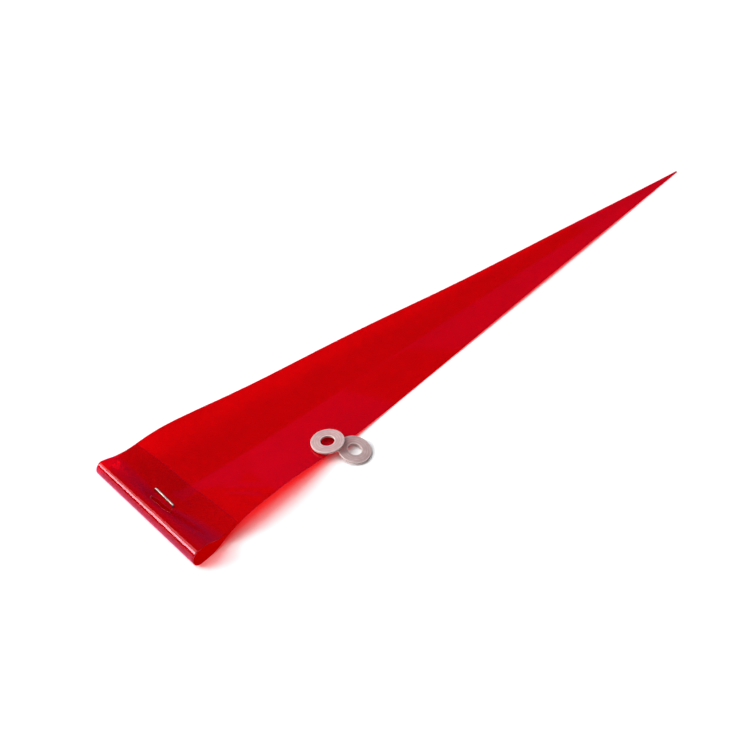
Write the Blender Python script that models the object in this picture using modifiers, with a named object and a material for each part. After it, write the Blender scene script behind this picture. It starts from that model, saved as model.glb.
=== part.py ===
"""Stapled film wind pennant with its two loose nylon washers, lying at rest.

Frame: +X runs from the rod sleeve to the tip, Y runs along the sleeve, +Z is up.
The origin is on the surface that the pennant lies on, below the middle of the whole object's box.
All lengths are in metres.
"""
import math

import bmesh
import bpy
import numpy as np
from mathutils import Vector

MM = 0.001

# Film: one tapering sheet, folded over into a sleeve at its wide end.
FILM_THICKNESS = 0.3 * MM
HALF_WIDTH = 34.0 * MM          # at the sleeve
TIP_HALF_WIDTH = 0.35 * MM
TIP_X = 326.0 * MM              # from the sleeve's middle
PLY_PITCH = 0.62 * MM           # between the middle surfaces of the two stapled plies

# Sleeve: a round loop for a thin rod, wider at its right end, closed by the staple.
SLEEVE_HEIGHT = 9.4 * MM        # at the right, between the middle surfaces of floor and top
HEIGHT_TAPER = 1.6 * MM         # and lower at the left by this
SLEEVE_REACH = 4.3 * MM         # at the right, from the sleeve's middle to its front
REACH_TAPER = 1.3 * MM          # and less at the left by this
FLAP_END = 21.8 * MM            # the hem's cut end on the middle line, behind the sleeve's middle
FLAP_SKEW = 2.5 * MM            # the cut end comes nearer on the left by this
FLAP_BOW = 1.7 * MM             # and at both sides by this
FLAP_INSET = 1.0 * MM           # the hem is narrower than the ply below it, each side
CLOSE_MIDDLE = 9.0 * MM         # where the loop's two plies meet, at the staple
CLOSE_ENDS = 19.0 * MM          # and at the sleeve's open ends
CLOSE_HELD = 0.12               # of the half width: what the staple holds closed
CLOSE_POWER = 1.2
CREASE_SOFTNESS = 0.02          # of the half width: the rounding of the middle crease

# Lift of the lower ply above the surface it lies on:
# distance from the sleeve, then lift at the right edge, the middle and the left edge, all in mm.
LIFT_STATIONS = (
    (0.0, 0.0, 0.0, 0.0),
    (4.0, 0.0, 0.9, 1.3),
    (9.0, 0.7, 3.5, 5.0),
    (15.0, 3.4, 3.7, 6.8),
    (25.0, 6.4, 3.1, 8.8),
    (40.0, 7.2, 2.1, 9.3),
    (55.0, 6.4, 1.5, 8.3),
    (75.0, 3.5, 1.2, 6.9),
    (100.0, 0.9, 1.2, 6.3),
    (140.0, 0.0, 1.3, 5.4),
    (190.0, 0.5, 0.8, 2.6),
    (250.0, 0.8, 0.4, 1.4),
    (326.0, 0.0, 0.0, 0.0),
)

# Mesh density of the film.
FLAP_ROWS = 9
LOOP_ROWS = 18
TAIL_ROWS = 40
FILM_COLUMNS = 16
TAIL_SPACING_POWER = 1.35       # rows sit closer together near the sleeve

# Staple: 26/6 wire, crown on the hem, legs clinched under the lower ply.
STAPLE_X = 9.2 * MM
STAPLE_Y = 2.0 * MM
STAPLE_CROWN = 12.7 * MM
STAPLE_WIRE = 0.55 * MM
STAPLE_CORNER = 0.7 * MM
STAPLE_ARM = 5.0 * MM           # each clinched leg end
STAPLE_LEAN = 1.4 * MM          # the legs lean towards the sleeve by this
STAPLE_SLACK = 0.1 * MM         # the clinched ends hang this much lower than a contact
STAPLE_HOLE = 1.2 * MM
HOLE_SIDES = 16
CORNER_STEPS = 3
CONTACT_GAP = 0.3 * MM

# Washers: flat nylon bearings for the rod, both the same size.
WASHER_DIAMETER = 15.0 * MM
WASHER_HOLE = 6.4 * MM
WASHER_THICKNESS = 1.1 * MM
WASHER_CHAMFER = 0.2 * MM
WASHER_STEPS = 56
LOWER_WASHER_POS = (89.6 * MM, -30.7 * MM, 2.00 * MM)
LOWER_WASHER_TILT = (math.radians(9.5), math.radians(6.5))
UPPER_WASHER_POS = (82.6 * MM, -20.8 * MM, 4.39 * MM)
UPPER_WASHER_TILT = (math.radians(-8.0), math.radians(-1.0))

MERGE_DISTANCE = 0.00001

# The object's box runs from the sleeve's front to the tip, and from the lower washer's rim
# to the film's left edge. Its middle is the origin.
ORIGIN_X = (TIP_X - SLEEVE_REACH - FILM_THICKNESS / 2) / 2
ORIGIN_Y = (HALF_WIDTH + LOWER_WASHER_POS[1] - WASHER_DIAMETER / 2) / 2


def start_clean():
    """Remove the scene's objects and make the collections of the parts and the cutters."""
    for old in list(bpy.data.objects):
        bpy.data.objects.remove(old, do_unlink=True)
    collections = []
    for name in ("wind_pennant", "cutters"):
        collection = bpy.data.collections.new(name)
        bpy.context.scene.collection.children.link(collection)
        collections.append(collection)
    return collections


def make_material(name, color, roughness, metallic=0.0):
    material = bpy.data.materials.new(name)
    material.use_nodes = True
    shader = material.node_tree.nodes["Principled BSDF"]
    shader.inputs["Base Color"].default_value = (*color, 1.0)
    shader.inputs["Roughness"].default_value = roughness
    shader.inputs["Metallic"].default_value = metallic
    return material


def smooth_step(t):
    t = min(max(t, 0.0), 1.0)
    return t * t * (3.0 - 2.0 * t)


def spline_slopes(x, y):
    """Slopes at the stations of a smooth curve whose curvature is continuous."""
    count = len(x)
    system = np.eye(count)
    target = np.zeros(count)
    for i in range(1, count - 1):
        before = x[i] - x[i - 1]
        after = x[i + 1] - x[i]
        system[i, i - 1:i + 2] = (1 / before, 2 / before + 2 / after, 1 / after)
        target[i] = 3 * ((y[i] - y[i - 1]) / before ** 2 + (y[i + 1] - y[i]) / after ** 2)
    return np.linalg.solve(system, target)


STATION_X = np.array([row[0] for row in LIFT_STATIONS]) * MM
STATION_LIFT = [np.array([row[k] for row in LIFT_STATIONS]) * MM for k in (1, 2, 3)]
STATION_SLOPE = [spline_slopes(STATION_X, lift) for lift in STATION_LIFT]


def spline_value(x, lift, slope):
    i = int(np.clip(np.searchsorted(STATION_X, x) - 1, 0, len(STATION_X) - 2))
    span = STATION_X[i + 1] - STATION_X[i]
    t = (x - STATION_X[i]) / span
    return (lift[i] * (1 + 2 * t) * (1 - t) ** 2 + slope[i] * span * t * (1 - t) ** 2
            + lift[i + 1] * t * t * (3 - 2 * t) + slope[i + 1] * span * t * t * (t - 1))


def lower_ply(x, across):
    """Height of the lower ply's middle surface; across is -1 at the right edge, 1 at the left."""
    right, middle, left = (spline_value(x, lift, slope)
                           for lift, slope in zip(STATION_LIFT, STATION_SLOPE))
    away = math.hypot(across, CREASE_SOFTNESS) - CREASE_SOFTNESS
    away /= math.hypot(1.0, CREASE_SOFTNESS) - CREASE_SOFTNESS
    side = right if across < 0 else left
    return FILM_THICKNESS / 2 + max(middle + (side - middle) * away, 0.0)


def from_right(across):
    """How far across the film a place is: 0 at the right edge, 1 at the left."""
    return (1 + across) / 2


def sleeve_height(across):
    return SLEEVE_HEIGHT - HEIGHT_TAPER * from_right(across)


def upper_ply(x, across):
    """Height of the hem's middle surface, from the sleeve's top to the hem's cut end."""
    beside = max(abs(across) - CLOSE_HELD, 0.0) / (1 - CLOSE_HELD)
    close = CLOSE_MIDDLE + (CLOSE_ENDS - CLOSE_MIDDLE) * beside
    blend = smooth_step((max(x, 0.0) / close) ** CLOSE_POWER)
    stapled = lower_ply(x, across) + PLY_PITCH
    top = FILM_THICKNESS / 2 + sleeve_height(across)
    return max(top + (stapled - top) * blend, stapled)


def half_width(x):
    """Half the lower ply's width, which tapers in a straight line to the tip."""
    taper = max(x, 0.0) / TIP_X
    return HALF_WIDTH + (TIP_HALF_WIDTH - HALF_WIDTH) * taper


def film_rows():
    """One row per station: which stretch of the film it is in, and how far along."""
    flap = [("flap", 1 - i / FLAP_ROWS) for i in range(FLAP_ROWS)]
    loop = [("loop", math.pi * i / LOOP_ROWS) for i in range(LOOP_ROWS)]
    tail = [("tail", TIP_X * (i / TAIL_ROWS) ** TAIL_SPACING_POWER) for i in range(TAIL_ROWS + 1)]
    return flap + loop + tail


def film_point(row, across):
    """A point of the film's middle surface, with x counted from the sleeve's middle."""
    stretch, along = row
    if stretch == "flap":
        x = along * (FLAP_END - FLAP_SKEW * across - FLAP_BOW * across ** 2)
        y = across * (half_width(x) - FLAP_INSET * along)
        return x, y, upper_ply(x, across)
    if stretch == "loop":
        x = -(SLEEVE_REACH - REACH_TAPER * from_right(across)) * math.sin(along)
        z = FILM_THICKNESS / 2 + sleeve_height(across) / 2 * (1 + math.cos(along))
        return x, across * HALF_WIDTH, z
    return along, across * half_width(along), lower_ply(along, across)


def placed(x, y, z):
    """A place in the object's frame, from one counted from the sleeve's middle."""
    return Vector((x - ORIGIN_X, y - ORIGIN_Y, z))


def link_mesh(mesh, name, collection, material):
    obj = bpy.data.objects.new(name, mesh)
    collection.objects.link(obj)
    mesh.materials.append(material)
    return obj


def build_film(collection, material):
    """The folded sheet: a grid laid along the profile, thickened both ways from its middle."""
    rows = film_rows()
    mesh = bpy.data.meshes.new("pennant_film")
    grid = bmesh.new()
    bmesh.ops.create_grid(grid, x_segments=len(rows) - 1, y_segments=FILM_COLUMNS, size=1.0)
    for vertex in grid.verts:
        row = rows[round((vertex.co.x + 1) / 2 * (len(rows) - 1))]
        vertex.co = placed(*film_point(row, vertex.co.y))
    grid.to_mesh(mesh)
    grid.free()
    film = link_mesh(mesh, "pennant_film", collection, material)
    mesh.shade_smooth()
    thickness = film.modifiers.new("film_thickness", "SOLIDIFY")
    thickness.thickness = FILM_THICKNESS
    thickness.offset = 0.0
    return film


def staple_legs():
    """The top and the foot of both legs, right then left, clear of the plies between them."""
    clear = FILM_THICKNESS / 2 + CONTACT_GAP + STAPLE_WIRE / 2
    foot_x = STAPLE_X - STAPLE_LEAN
    legs = []
    for side in (-1, 1):
        y = STAPLE_Y + side * (STAPLE_CROWN - STAPLE_WIRE) / 2
        high = upper_ply(STAPLE_X, y / half_width(STAPLE_X)) + clear
        low = lower_ply(foot_x, y / half_width(foot_x)) - clear - STAPLE_SLACK
        legs.append((Vector((STAPLE_X, y, high)), Vector((foot_x, y, low))))
    return legs


def pierce_film(film, collection):
    """Cut the two holes that the staple's leaning legs pass through."""
    for index, (top, foot) in enumerate(staple_legs()):
        leg = top - foot
        bpy.ops.mesh.primitive_cylinder_add(
            vertices=HOLE_SIDES, radius=STAPLE_HOLE / 2, depth=leg.length,
            location=placed(*(top + foot) / 2), rotation=leg.to_track_quat("Z", "Y").to_euler())
        cutter = bpy.context.object
        cutter.name = f"leg_hole_cutter_{index + 1}"
        cutter.display_type = "WIRE"
        cutter.hide_render = True
        for owner in list(cutter.users_collection):
            owner.objects.unlink(cutter)
        collection.objects.link(cutter)
        cut = film.modifiers.new(f"leg_hole_{index + 1}", "BOOLEAN")
        cut.operation = "DIFFERENCE"
        cut.solver = "EXACT"
        cut.object = cutter


def corner(start, turn, end):
    """Points of a rounded corner of the wire at turn, between its two neighbours."""
    a = turn + (start - turn).normalized() * STAPLE_CORNER
    b = turn + (end - turn).normalized() * STAPLE_CORNER
    points = []
    for i in range(CORNER_STEPS + 1):
        t = i / CORNER_STEPS
        points.append(a * (1 - t) ** 2 + turn * 2 * t * (1 - t) + b * t * t)
    return points


def build_staple(collection, material):
    """The wire: clinched arm, leg, crown, leg, clinched arm."""
    (right_top, right_foot), (left_top, left_foot) = staple_legs()
    under = (left_foot - right_foot).normalized() * STAPLE_ARM
    turns = [right_foot + under, right_foot, right_top, left_top, left_foot, left_foot - under]
    points = [turns[0]]
    for i in range(1, len(turns) - 1):
        points += corner(turns[i - 1], turns[i], turns[i + 1])
    points.append(turns[-1])

    curve = bpy.data.curves.new("staple", "CURVE")
    curve.dimensions = "3D"
    curve.bevel_depth = STAPLE_WIRE / 2
    curve.bevel_resolution = 2
    curve.use_fill_caps = True
    spline = curve.splines.new("POLY")
    spline.points.add(len(points) - 1)
    for slot, point in zip(spline.points, points):
        slot.co = (*placed(*point), 1.0)
    staple = bpy.data.objects.new("staple", curve)
    collection.objects.link(staple)
    curve.materials.append(material)
    return staple


def washer_mesh():
    """A washer's half section, a closed profile that runs down its outer side first."""
    outer = WASHER_DIAMETER / 2
    inner = WASHER_HOLE / 2
    half = WASHER_THICKNESS / 2
    cut = WASHER_CHAMFER
    profile = [
        (outer - cut, half), (outer, half - cut), (outer, cut - half), (outer - cut, -half),
        (inner + cut, -half), (inner, cut - half), (inner, half - cut), (inner + cut, half)]
    mesh = bpy.data.meshes.new("washer")
    edges = [(i, (i + 1) % len(profile)) for i in range(len(profile))]
    mesh.from_pydata([(x, 0.0, z) for x, z in profile], edges, [])
    return mesh


def build_washer(name, place, tilt, mesh, collection, material):
    """A turned washer, with its origin at its own centre, tilted as it lies."""
    washer = link_mesh(mesh.copy(), name, collection, material)
    washer.location = placed(*place)
    washer.rotation_euler = (tilt[0], tilt[1], 0.0)
    turn = washer.modifiers.new("turned", "SCREW")
    turn.axis = "Z"
    turn.steps = WASHER_STEPS
    turn.render_steps = WASHER_STEPS
    turn.use_merge_vertices = True
    turn.merge_threshold = MERGE_DISTANCE
    turn.use_smooth_shade = False
    return washer


parts, cutters = start_clean()
red_film = make_material("red_film", (0.62, 0.0, 0.008), 0.12)
steel = make_material("staple_steel", (0.62, 0.63, 0.62), 0.28, metallic=1.0)
nylon = make_material("natural_nylon", (0.85, 0.80, 0.78), 0.38)

pennant_film = build_film(parts, red_film)
pierce_film(pennant_film, cutters)
build_staple(parts, steel)
washer_section = washer_mesh()
build_washer("lower_washer", LOWER_WASHER_POS, LOWER_WASHER_TILT, washer_section, parts, nylon)
build_washer("upper_washer", UPPER_WASHER_POS, UPPER_WASHER_TILT, washer_section, parts, nylon)
bpy.data.meshes.remove(washer_section)
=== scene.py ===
"""Looks of the stapled film wind pennant: fine film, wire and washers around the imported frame.

All lengths are in metres, in the frame's own axes: +X runs from the sleeve to the tip,
Y along the sleeve and +Z up. The floor is at Z = 0.
"""
import math

import bmesh
import bpy
import numpy as np
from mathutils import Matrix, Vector


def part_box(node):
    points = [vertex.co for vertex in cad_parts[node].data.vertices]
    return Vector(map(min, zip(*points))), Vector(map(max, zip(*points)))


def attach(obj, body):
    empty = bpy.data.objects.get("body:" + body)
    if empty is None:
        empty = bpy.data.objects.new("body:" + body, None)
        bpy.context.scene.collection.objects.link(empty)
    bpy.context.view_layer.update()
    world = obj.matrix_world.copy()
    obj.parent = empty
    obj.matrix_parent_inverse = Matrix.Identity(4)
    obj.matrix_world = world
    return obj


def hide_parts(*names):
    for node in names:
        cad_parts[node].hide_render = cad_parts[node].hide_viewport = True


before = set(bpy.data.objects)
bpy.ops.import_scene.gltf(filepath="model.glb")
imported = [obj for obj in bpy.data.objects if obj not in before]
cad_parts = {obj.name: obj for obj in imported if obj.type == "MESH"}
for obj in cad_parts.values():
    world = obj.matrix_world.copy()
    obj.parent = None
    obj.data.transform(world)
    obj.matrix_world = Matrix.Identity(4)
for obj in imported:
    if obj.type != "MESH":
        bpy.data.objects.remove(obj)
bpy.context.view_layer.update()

MM = 0.001
SHARP_ANGLE = math.radians(40.0)

# ---------------------------------------------------------------- camera
CAMERA_AZIMUTH = math.radians(-41.94)
CAMERA_ELEVATION = math.radians(47.25)
CAMERA_DISTANCE = 1.2
CAMERA_TARGET = Vector((-0.0334, 0.0, 0.0))
CAMERA_FIELD = math.radians(16.05)
SENSOR_WIDTH = 36.0                             # in millimetres
CLIP_NEAR = 0.05
CLIP_FAR = 20.0

# ---------------------------------------------------------------- film shape
film_low, film_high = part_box("pennant_film")
FILM_THICKNESS = 0.25 * MM
SLEEVE_REACH = 4.3 * MM
SLEEVE_HEIGHT = 9.4 * MM                        # at the right end
HEIGHT_TAPER = 1.6 * MM
REACH_TAPER = 1.3 * MM                          # the sleeve is slimmer at its left end
SHEET_HEIGHT = 0.15 * MM                        # the lower ply's middle where it lies flat
SLEEVE_X = film_low[0] + SLEEVE_REACH + SHEET_HEIGHT
SLEEVE_Y = (film_low[1] + film_high[1]) / 2
TIP_X = film_high[0] - SLEEVE_X
HALF_WIDTH = (film_high[1] - film_low[1]) / 2
TIP_HALF_WIDTH = 0.35 * MM
PLY_PITCH = 0.62 * MM                           # between the middle surfaces of the plies
FLAP_END = 21.8 * MM                            # the hem's cut end on the middle line
FLAP_SKEW = 2.5 * MM                            # the cut end comes nearer on the left by this
FLAP_BOW = 1.7 * MM                             # and at both sides by this
FLAP_INSET = 1.0 * MM                           # the cut end is narrower by this on each side
CLOSE_MIDDLE = 9.0 * MM                         # where the plies meet, at the staple
CLOSE_ENDS = 19.0 * MM                          # and at the sleeve's open ends
CLOSE_HELD = 0.12                               # of the half width: what the staple holds closed
CLOSE_POWER = 1.2
CREASE_SOFTNESS = 0.02                          # of the half width: the rounding of the middle crease

# Distance from the sleeve, then lift of the lower ply at the right edge, the middle crease
# and the left edge, all in mm.
LIFT_STATIONS = (
    (0.0, 0.0, 0.0, 0.0),
    (4.0, 0.0, 0.9, 1.3),
    (9.0, 0.7, 3.5, 5.0),
    (15.0, 3.4, 3.7, 6.8),
    (25.0, 6.4, 3.1, 8.8),
    (40.0, 7.2, 2.1, 9.3),
    (55.0, 6.4, 1.5, 8.3),
    (75.0, 3.5, 1.2, 6.9),
    (100.0, 0.9, 1.2, 6.3),
    (140.0, 0.0, 1.3, 5.4),
    (190.0, 0.5, 0.8, 2.6),
    (250.0, 0.8, 0.4, 1.4),
    (326.0, 0.0, 0.0, 0.0),
)

# Fine creases that fan out from the staple's right end towards the right edge.
FAN_X = 9.2 * MM
FAN_Y = -4.4 * MM
FAN_CURL = math.radians(0.59) / MM              # how fast a crease bends away with distance
FAN_START = 6.0 * MM
FAN_FADE = 26.0 * MM
FAN_END = 42.0 * MM
# Each crease: angle from the middle line in degrees, width in degrees and height in mm.
FAN_CREASES = ((5.0, 3.0, 0.22), (15.0, 3.2, 0.32), (27.0, 4.0, 0.26), (40.0, 4.5, 0.18))

FLAP_ROWS = 64
LOOP_ROWS = 48
TAIL_ROWS = 200
FILM_COLUMNS = 144
TAIL_SPACING_POWER = 1.3

# ---------------------------------------------------------------- staple
STAPLE_X = 9.2 * MM
STAPLE_Y = 2.0 * MM
STAPLE_CROWN = 12.7 * MM
STAPLE_ARM = 5.0 * MM
STAPLE_LEAN = 0.7 * MM                          # the legs lean towards the sleeve by this
STAPLE_PLAY = 0.1 * MM                          # between the wire and the film
WIRE_WIDTH = 0.85 * MM                          # the wire is flattened
WIRE_HEIGHT = 0.5 * MM
WIRE_ROUND = 0.14 * MM                          # of the wire's own edges
BEND_RADIUS = 0.7 * MM
BEND_STEPS = 8

# ---------------------------------------------------------------- washers
WASHER_OUTER = 7.5 * MM                         # radius
WASHER_INNER = 3.2 * MM                         # radius
WASHER_THICKNESS = 1.1 * MM
WASHER_SEGMENTS = 144
RIM_ROUND = 0.15 * MM
RIM_STEPS = 4
# Painted highlight: the width of the paler band painted at each rim where the edge catches the light.
HIGHLIGHT_RIM_WIDTH = 0.28 * MM
RING_PITCH = 1.05 * MM
RING_DEPTH = 0.015 * MM
RING_CONTRAST = 0.55
RING_WANDER = 0.5                               # of the pitch

# ---------------------------------------------------------------- colours, linear
FILM_TINT_LOW = (0.665, 0.0, 0.001)             # what one face of the film lets through
FILM_TINT_HIGH = (0.695, 0.0, 0.002)
FILM_SHADOW_TINT = (0.89, 0.0, 0.003)
FILM_BODY = (0.79, 0.0, 0.004)
FILM_GLOSS = (1.0, 0.45, 0.85)
FILM_HAZE = 0.17
SCUFF_HAZE = 0.21                               # where the film is lightly scuffed
FILM_IOR = 1.46
DRAWN_RELIEF = 0.0025 * MM
STEEL_BRIGHT = (0.80, 0.93, 0.97)
STEEL_DULL = (0.50, 0.57, 0.58)
STEEL_PAINTED_SHADE = (0.035, 0.03, 0.028)               # painted shade: the wire's sides and underside are painted nearly black
NYLON_DEEP = (0.58, 0.42, 0.42)
NYLON_PALE = (0.70, 0.53, 0.52)
NYLON_RING = (0.46, 0.31, 0.33)
# Painted highlight: the colour of the rims, painted paler where the rounded edges catch the light.
NYLON_RIM_HIGHLIGHT = (0.74, 0.68, 0.64)
# Painted shade: the washers' sides and undersides are painted a little darker than the faces.
NYLON_PAINTED_SHADE = (0.55, 0.40, 0.39)
NYLON_MILK = 0.58
# The painted highlight rims are also milkier.
HIGHLIGHT_RIM_MILK = 0.95
NYLON_CLEAR = (0.92, 0.88, 0.86)                # what it lets through where it isn't milky

# ---------------------------------------------------------------- grain and finish
# Cells of noise per metre along X, Y and Z.
DRAWN_CELLS = (9.0, 260.0, 40.0)
MOTTLE_CELLS = (45.0, 70.0, 70.0)
SCUFF_CELLS = (700.0, 1500.0, 900.0)
WIRE_CELLS = (6000.0, 300.0, 6000.0)
SPANGLE_CELLS = (900.0, 900.0, 900.0)
CLOUD_CELLS = (380.0, 380.0, 380.0)
# Values of the noise between which each change of look sets in.
DRAWN_SPAN = (0.3, 0.75)
MOTTLE_SPAN = (0.3, 0.7)
SCUFF_SPAN = (0.62, 0.80)
WIRE_SPAN = (0.3, 0.7)
SPANGLE_SPAN = (0.42, 0.62)
CLOUD_SPAN = (0.35, 0.65)
# Z of the normal from which a surface starts to take its upper colour, and where it has it all; below
# it, sides and undersides take a painted shade.
WIRE_SHADE_FACING = (0.4, 0.8)
NYLON_SHADE_FACING = (0.1, 0.6)
# Roughness, at the smoothest and the roughest places.
FILM_BODY_ROUGHNESS = 0.6
FILM_GLOSS_ROUGHNESS = (0.03, 0.07)
STEEL_ROUGHNESS = (0.28, 0.5)
NYLON_ROUGHNESS = (0.38, 0.55)
STEEL_METALLIC = 0.7
WIRE_RELIEF = 0.02 * MM
NYLON_SPECULAR = 0.4


def spline_slopes(x, y):
    """Slopes at the stations of a smooth curve whose curvature is continuous."""
    count = len(x)
    system = np.eye(count)
    target = np.zeros(count)
    for i in range(1, count - 1):
        before = x[i] - x[i - 1]
        after = x[i + 1] - x[i]
        system[i, i - 1:i + 2] = (1 / before, 2 / before + 2 / after, 1 / after)
        target[i] = 3 * ((y[i] - y[i - 1]) / before ** 2 + (y[i + 1] - y[i]) / after ** 2)
    return np.linalg.solve(system, target)


STATION_X = np.array([row[0] for row in LIFT_STATIONS]) * MM
STATION_LIFT = [np.array([row[k] for row in LIFT_STATIONS]) * MM for k in (1, 2, 3)]
STATION_SLOPE = [spline_slopes(STATION_X, lift) for lift in STATION_LIFT]


def smooth_step(t):
    t = np.clip(t, 0.0, 1.0)
    return t * t * (3.0 - 2.0 * t)


def spline_value(x, lift, slope):
    i = np.clip(np.searchsorted(STATION_X, x) - 1, 0, len(STATION_X) - 2)
    span = STATION_X[i + 1] - STATION_X[i]
    t = (x - STATION_X[i]) / span
    return (lift[i] * (1 + 2 * t) * (1 - t) ** 2 + slope[i] * span * t * (1 - t) ** 2
            + lift[i + 1] * t * t * (3 - 2 * t) + slope[i + 1] * span * t * t * (t - 1))


def half_width(x):
    return HALF_WIDTH + (TIP_HALF_WIDTH - HALF_WIDTH) * np.maximum(x, 0.0) / TIP_X


def staple_creases(x, y):
    """Height of the fine creases that the staple's right end pulls into the film."""
    aside = FAN_Y - y
    reach = np.hypot(x - FAN_X, aside)
    angle = np.degrees(np.arctan2(aside, x - FAN_X) - FAN_CURL * reach)
    strength = (smooth_step(reach / FAN_START)
                * (1 - smooth_step((reach - FAN_FADE) / (FAN_END - FAN_FADE))))
    ridges = sum(height * MM * np.exp(-((angle - place) / width) ** 2)
                 for place, width, height in FAN_CREASES)
    return strength * ridges


def lower_ply(x, across):
    """Height of the lower ply's middle surface; across is -1 at the right edge, 1 at the left."""
    right, middle, left = (spline_value(x, lift, slope)
                           for lift, slope in zip(STATION_LIFT, STATION_SLOPE))
    away = np.sqrt(across ** 2 + CREASE_SOFTNESS ** 2) - CREASE_SOFTNESS
    away = away / (np.sqrt(1 + CREASE_SOFTNESS ** 2) - CREASE_SOFTNESS)
    side = np.where(across < 0, right, left)
    creases = staple_creases(x, across * half_width(x))
    return SHEET_HEIGHT + np.maximum(middle + (side - middle) * away, 0.0) + creases


def from_right(across):
    """How far across the film a place is: 0 at the right edge, 1 at the left."""
    return (1 + across) / 2


def sleeve_height(across):
    return SLEEVE_HEIGHT - HEIGHT_TAPER * from_right(across)


def upper_ply(x, across):
    """Height of the hem's middle surface, from the sleeve's top to the hem's cut end."""
    beside = np.maximum(np.abs(across) - CLOSE_HELD, 0.0) / (1 - CLOSE_HELD)
    close = CLOSE_MIDDLE + (CLOSE_ENDS - CLOSE_MIDDLE) * beside
    blend = smooth_step((np.maximum(x, 0.0) / close) ** CLOSE_POWER)
    stapled = lower_ply(x, across) + PLY_PITCH
    top = SHEET_HEIGHT + sleeve_height(across)
    return np.maximum(top + (stapled - top) * blend, stapled)


def flap_end(across):
    """Distance from the sleeve to the hem's slightly skewed cut end."""
    return FLAP_END - FLAP_SKEW * across - FLAP_BOW * across ** 2


def film_grid():
    """Rows of points of the film's middle surface, along the profile from the hem's cut end."""
    across = np.linspace(-1.0, 1.0, FILM_COLUMNS + 1)
    rows = []
    for i in range(FLAP_ROWS):
        run = 1 - i / FLAP_ROWS
        x = flap_end(across) * run
        y = across * (half_width(x) - FLAP_INSET * run)
        rows.append((x, y, upper_ply(x, across)))
    reach = SLEEVE_REACH - REACH_TAPER * from_right(across)
    for i in range(LOOP_ROWS):
        turn = math.pi * i / LOOP_ROWS
        x = -reach * math.sin(turn)
        z = SHEET_HEIGHT + sleeve_height(across) / 2 * (1 + math.cos(turn))
        rows.append((x, across * HALF_WIDTH, z))
    for i in range(TAIL_ROWS + 1):
        x = TIP_X * (i / TAIL_ROWS) ** TAIL_SPACING_POWER
        rows.append((np.full_like(across, x), across * half_width(x), lower_ply(x, across)))
    return np.array(rows).transpose(0, 2, 1)


def new_object(name, mesh, material):
    piece = bpy.data.objects.new(name, mesh)
    bpy.context.scene.collection.objects.link(piece)
    mesh.materials.append(material)
    return piece


def build_film(material):
    points = film_grid()
    rows, columns = points.shape[:2]
    mesh = bpy.data.meshes.new("folded_film")
    grid = bmesh.new()
    bmesh.ops.create_grid(grid, x_segments=rows - 1, y_segments=columns - 1, size=1.0)
    for vertex in grid.verts:
        row = round((vertex.co.x + 1) / 2 * (rows - 1))
        column = round((vertex.co.y + 1) / 2 * (columns - 1))
        x, y, z = points[row, column]
        vertex.co = (x + SLEEVE_X, y + SLEEVE_Y, z)
    grid.to_mesh(mesh)
    grid.free()
    mesh.shade_smooth()
    film = new_object("folded_film", mesh, material)
    thickness = film.modifiers.new("film_thickness", "SOLIDIFY")
    thickness.thickness = FILM_THICKNESS
    thickness.offset = 0.0
    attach(film, "pennant")
    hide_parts("pennant_film")
    return film, points


def staple_path():
    """Middle line of the wire: clinched arm, leg, crown, leg, clinched arm, with round bends."""
    clear = (FILM_THICKNESS + WIRE_HEIGHT) / 2 + STAPLE_PLAY
    foot_x = STAPLE_X - STAPLE_LEAN
    tops, feet = [], []
    for side in (-1, 1):
        y = STAPLE_Y + side * (STAPLE_CROWN - WIRE_HEIGHT) / 2
        high = upper_ply(STAPLE_X, y / half_width(STAPLE_X)) + clear
        low = lower_ply(foot_x, y / half_width(foot_x)) - clear
        tops.append(Vector((STAPLE_X, y, high)))
        feet.append(Vector((foot_x, y, low)))
    arm = (feet[1] - feet[0]).normalized() * STAPLE_ARM
    turns = [feet[0] + arm, feet[0], tops[0], tops[1], feet[1], feet[1] - arm]
    points = [turns[0]]
    for before, turn, after in zip(turns, turns[1:], turns[2:]):
        start = turn + (before - turn).normalized() * BEND_RADIUS
        end = turn + (after - turn).normalized() * BEND_RADIUS
        for i in range(BEND_STEPS + 1):
            t = i / BEND_STEPS
            points.append(start * (1 - t) ** 2 + turn * 2 * t * (1 - t) + end * t * t)
    points.append(turns[-1])
    return points


def wire_section():
    """The flattened wire's section, with rounded edges, as (across the wire, through it)."""
    section = []
    flat, deep = WIRE_WIDTH / 2 - WIRE_ROUND, WIRE_HEIGHT / 2 - WIRE_ROUND
    for quarter, (side, up) in enumerate(((1, 1), (-1, 1), (-1, -1), (1, -1))):
        for i in range(BEND_STEPS // 2 + 1):
            turn = math.pi / 2 * (quarter + 2 * i / BEND_STEPS)
            section.append((side * flat + WIRE_ROUND * math.cos(turn),
                            up * deep + WIRE_ROUND * math.sin(turn)))
    return section


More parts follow.
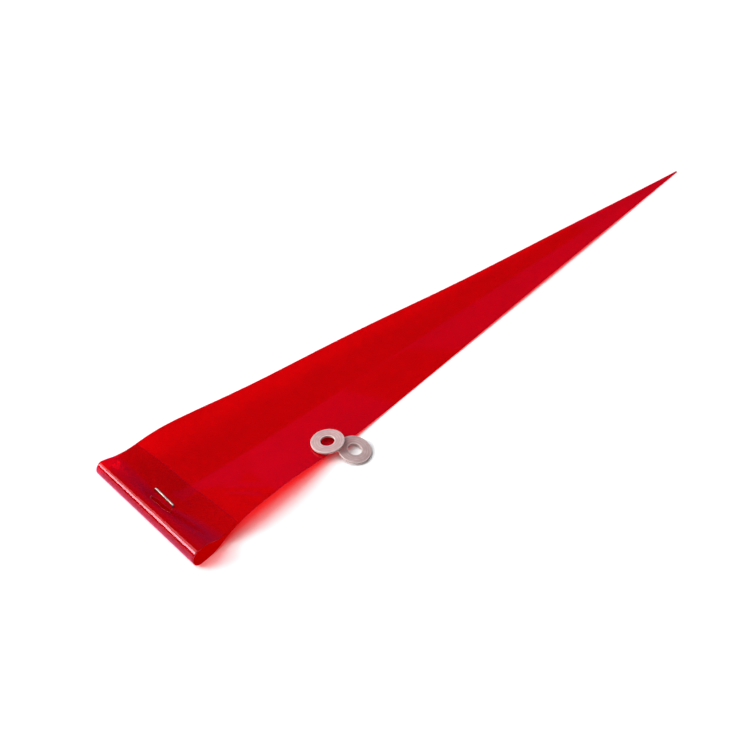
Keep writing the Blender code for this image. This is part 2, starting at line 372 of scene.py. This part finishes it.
def build_staple(material):
    """The staple's wire, swept along its path with its flat side against the film."""
    points = staple_path()
    crown = points[len(points) // 2] - points[len(points) // 2 - 1]
    leg = points[BEND_STEPS + 2] - points[BEND_STEPS + 1]
    wide = crown.cross(leg).normalized()
    section = wire_section()
    sleeve = Vector((SLEEVE_X, SLEEVE_Y, 0.0))
    mesh = bpy.data.meshes.new("flat_wire_staple")
    build = bmesh.new()
    rings = []
    for i, point in enumerate(points):
        along = (points[min(i + 1, len(points) - 1)] - points[max(i - 1, 0)]).normalized()
        through = wide.cross(along)
        rings.append([build.verts.new(point + wide * a + through * b + sleeve)
                      for a, b in section])
    for before, after in zip(rings, rings[1:]):
        for i in range(len(section)):
            j = (i + 1) % len(section)
            build.faces.new((before[i], before[j], after[j], after[i]))
    build.faces.new(rings[0])
    build.faces.new(rings[-1])
    bmesh.ops.recalc_face_normals(build, faces=build.faces)
    build.to_mesh(mesh)
    build.free()
    mesh.shade_smooth()
    mesh.set_sharp_from_angle(angle=SHARP_ANGLE)
    staple = new_object("flat_wire_staple", mesh, material)
    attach(staple, "pennant")
    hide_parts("staple")


# ---------------------------------------------------------------- materials
def node_material(name):
    material = bpy.data.materials.new(name)
    material.use_nodes = True
    tree = material.node_tree
    tree.nodes.clear()
    return material, tree, tree.nodes.new("ShaderNodeOutputMaterial")


def math_node(tree, operation, first, second):
    """A Math node on two inputs, each a socket or a number."""
    node = tree.nodes.new("ShaderNodeMath")
    node.operation = operation
    for socket, value in zip(node.inputs, (first, second)):
        if isinstance(value, (int, float)):
            socket.default_value = value
        else:
            tree.links.new(value, socket)
    return node.outputs[0]


def map_range(tree, value, low, high, to_low, to_high):
    """A clamped, smooth change of a value from one range to another."""
    node = tree.nodes.new("ShaderNodeMapRange")
    node.interpolation_type = "SMOOTHSTEP"
    for socket, setting in zip(node.inputs[1:5], (low, high, to_low, to_high)):
        socket.default_value = setting
    tree.links.new(value, node.inputs[0])
    return node.outputs[0]


def noise(tree, coordinates, stretch, detail=3.0):
    """Noise whose cells are 1 / stretch metres long along X, Y and Z."""
    mapping = tree.nodes.new("ShaderNodeMapping")
    mapping.inputs["Scale"].default_value = stretch
    tree.links.new(coordinates, mapping.inputs["Vector"])
    texture = tree.nodes.new("ShaderNodeTexNoise")
    texture.inputs["Scale"].default_value = 1.0
    texture.inputs["Detail"].default_value = detail
    tree.links.new(mapping.outputs[0], texture.inputs["Vector"])
    return texture.outputs["Fac"]


def mix_shaders(tree, share, first, second):
    node = tree.nodes.new("ShaderNodeMixShader")
    tree.links.new(share, node.inputs[0])
    tree.links.new(first, node.inputs[1])
    tree.links.new(second, node.inputs[2])
    return node.outputs[0]


def mix_colors(tree, share, first, second):
    node = tree.nodes.new("ShaderNodeMix")
    node.data_type = "RGBA"
    tree.links.new(share, node.inputs["Factor"])
    for socket, color in ((node.inputs["A"], first), (node.inputs["B"], second)):
        if isinstance(color, tuple):
            socket.default_value = (*color, 1.0)
        else:
            tree.links.new(color, socket)
    return node.outputs["Result"]


def bump(tree, height, distance):
    node = tree.nodes.new("ShaderNodeBump")
    node.inputs["Distance"].default_value = distance
    tree.links.new(height, node.inputs["Height"])
    return node.outputs[0]


def object_coordinates(tree):
    return tree.nodes.new("ShaderNodeTexCoord").outputs["Object"]


def facing_up(tree, low, high):
    """How much a surface faces up, from 0 at the low value of its normal's Z to 1 at the high."""
    normal = tree.nodes.new("ShaderNodeTexCoord").outputs["Normal"]
    split = tree.nodes.new("ShaderNodeSeparateXYZ")
    tree.links.new(normal, split.inputs[0])
    return map_range(tree, split.outputs["Z"], low, high, 0.0, 1.0)


def film_material():
    """Clear red film: dyed through, a little hazy, glossy, with faint drawn lines."""
    material, tree, output = node_material("clear_red_film")
    new, link = tree.nodes.new, tree.links.new
    place = object_coordinates(tree)
    drawn = noise(tree, place, DRAWN_CELLS, detail=4.0)
    mottle = noise(tree, place, MOTTLE_CELLS)
    scuffs = noise(tree, place, SCUFF_CELLS, detail=2.0)
    relief = bump(tree, math_node(tree, "ADD", drawn, mottle), DRAWN_RELIEF)

    seen = new("ShaderNodeBsdfTransparent")
    tint = map_range(tree, mottle, *MOTTLE_SPAN, 0.0, 1.0)
    link(mix_colors(tree, tint, FILM_TINT_LOW, FILM_TINT_HIGH), seen.inputs["Color"])
    body = new("ShaderNodeBsdfPrincipled")
    body.inputs["Base Color"].default_value = (*FILM_BODY, 1.0)
    body.inputs["Roughness"].default_value = FILM_BODY_ROUGHNESS
    body.inputs["Specular IOR Level"].default_value = 0.0
    haze = map_range(tree, scuffs, *SCUFF_SPAN, FILM_HAZE, SCUFF_HAZE)
    dyed = mix_shaders(tree, haze, seen.outputs[0], body.outputs[0])

    gloss = new("ShaderNodeBsdfGlossy")
    gloss.inputs["Color"].default_value = (*FILM_GLOSS, 1.0)
    link(map_range(tree, drawn, *DRAWN_SPAN, *FILM_GLOSS_ROUGHNESS), gloss.inputs["Roughness"])
    link(relief, gloss.inputs["Normal"])
    mirror = new("ShaderNodeFresnel")
    mirror.inputs["IOR"].default_value = FILM_IOR
    side = new("ShaderNodeNewGeometry")
    outside = math_node(tree, "SUBTRACT", 1.0, side.outputs["Backfacing"])
    mirrored = math_node(tree, "MULTIPLY", mirror.outputs[0], outside)
    surface = mix_shaders(tree, mirrored, dyed, gloss.outputs[0])

    # Light that only passes through on its way to the floor is dimmed less.
    lit = new("ShaderNodeBsdfTransparent")
    lit.inputs["Color"].default_value = (*FILM_SHADOW_TINT, 1.0)
    path = new("ShaderNodeLightPath")
    link(mix_shaders(tree, path.outputs["Is Shadow Ray"], surface, lit.outputs[0]),
         output.inputs["Surface"])
    return material


def staple_material():
    """Galvanised steel wire: drawn lines along it, mottled and dull in places, and painted shade on
    its sides and underside.
    """
    material, tree, output = node_material("galvanised_staple_wire")
    place = object_coordinates(tree)
    drawn = noise(tree, place, WIRE_CELLS, detail=4.0)
    spangle = noise(tree, place, SPANGLE_CELLS)
    shader = tree.nodes.new("ShaderNodeBsdfPrincipled")
    shader.inputs["Metallic"].default_value = STEEL_METALLIC
    dull = map_range(tree, spangle, *SPANGLE_SPAN, 0.0, 1.0)
    flat = mix_colors(tree, dull, STEEL_BRIGHT, STEEL_DULL)
    # Painted shade: where the normal points sideways or down, the wire takes the near-black shade
    # colour.
    color = mix_colors(tree, facing_up(tree, *WIRE_SHADE_FACING), STEEL_PAINTED_SHADE, flat)
    tree.links.new(color, shader.inputs["Base Color"])
    tree.links.new(map_range(tree, drawn, *WIRE_SPAN, *STEEL_ROUGHNESS),
                   shader.inputs["Roughness"])
    tree.links.new(bump(tree, drawn, WIRE_RELIEF), shader.inputs["Normal"])
    tree.links.new(shader.outputs[0], output.inputs["Surface"])
    return material


def nylon_material():
    """Natural nylon: milky, with turning rings on the faces, rims painted paler as a painted
    highlight, and sides and undersides painted darker as painted shade.
    """
    material, tree, output = node_material("milky_nylon")
    new, link = tree.nodes.new, tree.links.new
    place = object_coordinates(tree)
    flat = new("ShaderNodeVectorMath")
    flat.operation = "MULTIPLY"
    flat.inputs[1].default_value = (1.0, 1.0, 0.0)
    link(place, flat.inputs[0])
    length = new("ShaderNodeVectorMath")
    length.operation = "LENGTH"
    link(flat.outputs[0], length.inputs[0])
    radius = length.outputs["Value"]
    cloud = noise(tree, place, CLOUD_CELLS)
    wander = math_node(tree, "MULTIPLY", cloud, RING_WANDER * RING_PITCH)
    turned = math_node(tree, "ADD", radius, wander)
    phase = math_node(tree, "MULTIPLY", turned, 2 * math.pi / RING_PITCH)
    rings = math_node(tree, "SINE", phase, 0.0)
    rings = map_range(tree, rings, -1.0, 1.0, 0.0, 1.0)

    # Painted highlight: a paler band painted at the outer and inner rims.
    outer = map_range(tree, radius, WASHER_OUTER - HIGHLIGHT_RIM_WIDTH, WASHER_OUTER - HIGHLIGHT_RIM_WIDTH / 3,
                      0.0, 1.0)
    inner = map_range(tree, radius, WASHER_INNER + HIGHLIGHT_RIM_WIDTH / 3, WASHER_INNER + HIGHLIGHT_RIM_WIDTH,
                      1.0, 0.0)
    rim_highlight = math_node(tree, "MAXIMUM", outer, inner)
    patches = map_range(tree, cloud, *CLOUD_SPAN, 0.0, 1.0)
    face = mix_colors(tree, patches, NYLON_DEEP, NYLON_PALE)
    shade = math_node(tree, "MULTIPLY", rings, RING_CONTRAST)
    face = mix_colors(tree, shade, face, NYLON_RING)
    color = mix_colors(tree, rim_highlight, face, NYLON_RIM_HIGHLIGHT)
    # Painted shade: sides and undersides take the darker colour.
    color = mix_colors(tree, facing_up(tree, *NYLON_SHADE_FACING), NYLON_PAINTED_SHADE, color)

    shader = new("ShaderNodeBsdfPrincipled")
    shader.inputs["Specular IOR Level"].default_value = NYLON_SPECULAR
    link(color, shader.inputs["Base Color"])
    link(map_range(tree, rings, 0.0, 1.0, *NYLON_ROUGHNESS), shader.inputs["Roughness"])
    link(bump(tree, rings, RING_DEPTH), shader.inputs["Normal"])
    clear = new("ShaderNodeBsdfTransparent")
    clear.inputs["Color"].default_value = (*NYLON_CLEAR, 1.0)
    milk = map_range(tree, rim_highlight, 0.0, 1.0, NYLON_MILK, HIGHLIGHT_RIM_MILK)
    link(mix_shaders(tree, milk, clear.outputs[0], shader.outputs[0]), output.inputs["Surface"])
    return material


def build_washer(node, body, material):
    """A turned washer with rounded rims on the place and axis of its CAD node."""
    coarse = np.array([vertex.co for vertex in bpy.data.objects[node].data.vertices])
    centre = coarse.mean(axis=0)
    axis = Vector(np.linalg.svd(coarse - centre, full_matrices=False)[2][2])
    if axis.z < 0:
        axis.negate()
    section = []
    half = WASHER_THICKNESS / 2
    rounds = ((WASHER_OUTER, 1, -1), (WASHER_OUTER, 1, 1), (WASHER_INNER, -1, 1),
              (WASHER_INNER, -1, -1))
    for edge, outward, upward in rounds:
        steps = range(RIM_STEPS + 1)
        for i in (steps if outward * upward > 0 else reversed(steps)):
            turn = math.pi / 2 * i / RIM_STEPS
            section.append((edge - outward * RIM_ROUND * (1 - math.cos(turn)),
                            upward * (half - RIM_ROUND * (1 - math.sin(turn)))))
    mesh = bpy.data.meshes.new(f"turned_{node}")
    build = bmesh.new()
    loops = []
    for i in range(WASHER_SEGMENTS):
        turn = 2 * math.pi * i / WASHER_SEGMENTS
        loops.append([build.verts.new((radius * math.cos(turn), radius * math.sin(turn), height))
                      for radius, height in section])
    for before, after in zip(loops, loops[1:] + loops[:1]):
        for i in range(len(section)):
            j = (i + 1) % len(section)
            build.faces.new((before[i], after[i], after[j], before[j]))
    bmesh.ops.recalc_face_normals(build, faces=build.faces)
    build.to_mesh(mesh)
    build.free()
    mesh.shade_smooth()
    mesh.set_sharp_from_angle(angle=SHARP_ANGLE)
    washer = new_object(f"turned_{node}", mesh, material)
    washer.rotation_euler = axis.to_track_quat("Z", "Y").to_euler()
    washer.location = centre
    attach(washer, body)
    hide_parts(node)


film_look = film_material()
staple_look = staple_material()
nylon_look = nylon_material()
film, film_points = build_film(film_look)

build_staple(staple_look)
for washer_name in ("upper_washer", "lower_washer"):
    build_washer(washer_name, washer_name, nylon_look)


# ---------------------------------------------------------------- stage
# Boxes that light the scene but aren't mirrored: azimuth from +X and elevation in degrees,
# distance and size in metres, and power in watts.
BOXES = (
    (132.0, 45.0, 3.0, 2.3, 98.0),
    (132.0, 80.0, 2.5, 2.8, 31.0),
    (143.8, 27.0, 3.3, 1.4, 78.0),
)
# Strips that show only as mirror images: azimuth and elevation in degrees, height in metres
# and power in watts.
STRIPS = (
    (143.8, 27.0, 0.90, 145.0),
    (136.0, 43.5, 1.15, 32.0),
)
STRIP_COLOR = (1.0, 1.0, 0.60)
STRIP_DISTANCE = 3.0
STRIP_LENGTH = 2.0
CARD_AZIMUTH = 45.0
CARD_LEFT = 16.0                                # edges of the card, in degrees from its azimuth
CARD_RIGHT = -35.0
CARD_TOP = 51.0
CARD_DISTANCE = 2.0
CARD_WATTS = 2.4
CARD_COLOR = (0.5, 0.05, 1.0)
FLOOR_SIZE = 3.0                                # half of its width
FLOOR_WHITE = (0.9, 0.9, 0.9)
FLOOR_ROUGHNESS = 0.9
WORLD_STRENGTH = 0.05


def build_floor():
    material, tree, output = node_material("white_sweep")
    shader = tree.nodes.new("ShaderNodeBsdfPrincipled")
    shader.inputs["Base Color"].default_value = (*FLOOR_WHITE, 1.0)
    shader.inputs["Roughness"].default_value = FLOOR_ROUGHNESS
    shader.inputs["Specular IOR Level"].default_value = 0.0
    tree.links.new(shader.outputs[0], output.inputs["Surface"])
    mesh = bpy.data.meshes.new("floor")
    grid = bmesh.new()
    bmesh.ops.create_grid(grid, x_segments=2, y_segments=2, size=FLOOR_SIZE)
    grid.to_mesh(mesh)
    grid.free()
    floor = new_object("floor", mesh, material)


def area_light(name, place, aim, size, watts, color=(1.0, 1.0, 1.0)):
    """A rectangular soft light at a place, facing a point."""
    data = bpy.data.lights.new(name, "AREA")
    data.shape = "RECTANGLE"
    data.size, data.size_y = size
    data.energy = watts
    data.color = color
    light = bpy.data.objects.new(name, data)
    bpy.context.scene.collection.objects.link(light)
    light.location = place
    light.rotation_euler = (aim - place).to_track_quat("-Z", "Y").to_euler()
    return light


def towards(azimuth, elevation, distance):
    """A point seen from the object's middle at these angles in degrees."""
    azimuth, elevation = math.radians(azimuth), math.radians(elevation)
    level = math.cos(elevation)
    return CAMERA_TARGET + distance * Vector((math.cos(azimuth) * level,
                                              math.sin(azimuth) * level, math.sin(elevation)))


def build_lights():
    """Soft boxes for light and shadow, and strips and a card for the film to mirror."""
    for i, (azimuth, elevation, distance, size, watts) in enumerate(BOXES):
        box = area_light(f"box_{i}", towards(azimuth, elevation, distance), CAMERA_TARGET,
                         (size, size), watts)
        box.visible_glossy = False
    for i, (azimuth, elevation, height, watts) in enumerate(STRIPS):
        place = towards(azimuth, elevation, STRIP_DISTANCE)
        strip = area_light(f"strip_{i}", place, CAMERA_TARGET, (STRIP_LENGTH, height), watts,
                           STRIP_COLOR)
        strip.visible_diffuse = False
    facing = math.radians(CARD_AZIMUTH)
    away = Vector((math.cos(facing), math.sin(facing), 0.0))
    aside = Vector((-math.sin(facing), math.cos(facing), 0.0))
    left, right, top = (CARD_DISTANCE * math.tan(math.radians(angle))
                        for angle in (CARD_LEFT, CARD_RIGHT, CARD_TOP))
    centre = CAMERA_TARGET + away * CARD_DISTANCE + aside * (left + right) / 2
    centre.z = top / 2
    area_light("back_card", centre, centre - away, (left - right, top), CARD_WATTS, CARD_COLOR)
    world = bpy.data.worlds.new("studio")
    world.use_nodes = True
    background = world.node_tree.nodes["Background"]
    background.inputs["Color"].default_value = (1.0, 1.0, 1.0, 1.0)
    background.inputs["Strength"].default_value = WORLD_STRENGTH
    bpy.context.scene.world = world


def build_camera():
    data = bpy.data.cameras.new("camera")
    data.sensor_width = SENSOR_WIDTH
    data.lens = data.sensor_width / 2 / math.tan(CAMERA_FIELD / 2)
    data.clip_start = CLIP_NEAR
    data.clip_end = CLIP_FAR
    camera = bpy.data.objects.new("camera", data)
    bpy.context.scene.collection.objects.link(camera)
    level = math.cos(CAMERA_ELEVATION)
    view = Vector((-math.sin(CAMERA_AZIMUTH) * level, math.cos(CAMERA_AZIMUTH) * level,
                   -math.sin(CAMERA_ELEVATION)))
    camera.location = CAMERA_TARGET - view * CAMERA_DISTANCE
    camera.rotation_euler = (math.pi / 2 - CAMERA_ELEVATION, 0.0, CAMERA_AZIMUTH)
    bpy.context.scene.camera = camera


build_floor()
build_lights()
build_camera()
bpy.context.scene.view_settings.view_transform = "Standard"
